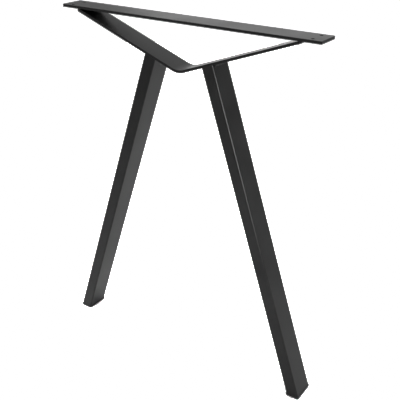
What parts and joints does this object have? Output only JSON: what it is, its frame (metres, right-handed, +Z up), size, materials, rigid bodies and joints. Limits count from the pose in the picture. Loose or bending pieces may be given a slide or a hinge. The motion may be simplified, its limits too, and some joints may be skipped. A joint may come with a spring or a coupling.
{
  "type": "table base",
  "caption": "Welded steel end support for a table: flat top plate with screw holes, a bent bar under it and spread rectangular tube legs that end in plastic foot caps.",
  "frame": {"origin": "on the floor, midway between the two feet and midway across them", "axes": "+Z up, X along the top plate from foot to foot, Y across the plate"},
  "size_m": [0.5884, 0.052, 0.72],
  "materials": {
    "powder_coated_steel": "fine-texture matt black powder coat",
    "coated_weld": "weld bead under the same powder coat",
    "cap_plastic": "moulded black plastic, fine matt texture"
  },
  "bodies": {
    "root": {"top_plate": "powder_coated_steel", "v_bracket": "powder_coated_steel", "left_leg_tube": "powder_coated_steel", "right_leg_tube": "powder_coated_steel", "left_foot_cap": "cap_plastic", "right_foot_cap": "cap_plastic", "left_bracket_weld": "coated_weld", "right_bracket_weld": "coated_weld", "left_leg_outer_weld": "coated_weld", "right_leg_outer_weld": "coated_weld", "left_leg_inner_weld": "coated_weld", "right_leg_inner_weld": "coated_weld"}
  },
  "joints": []
}
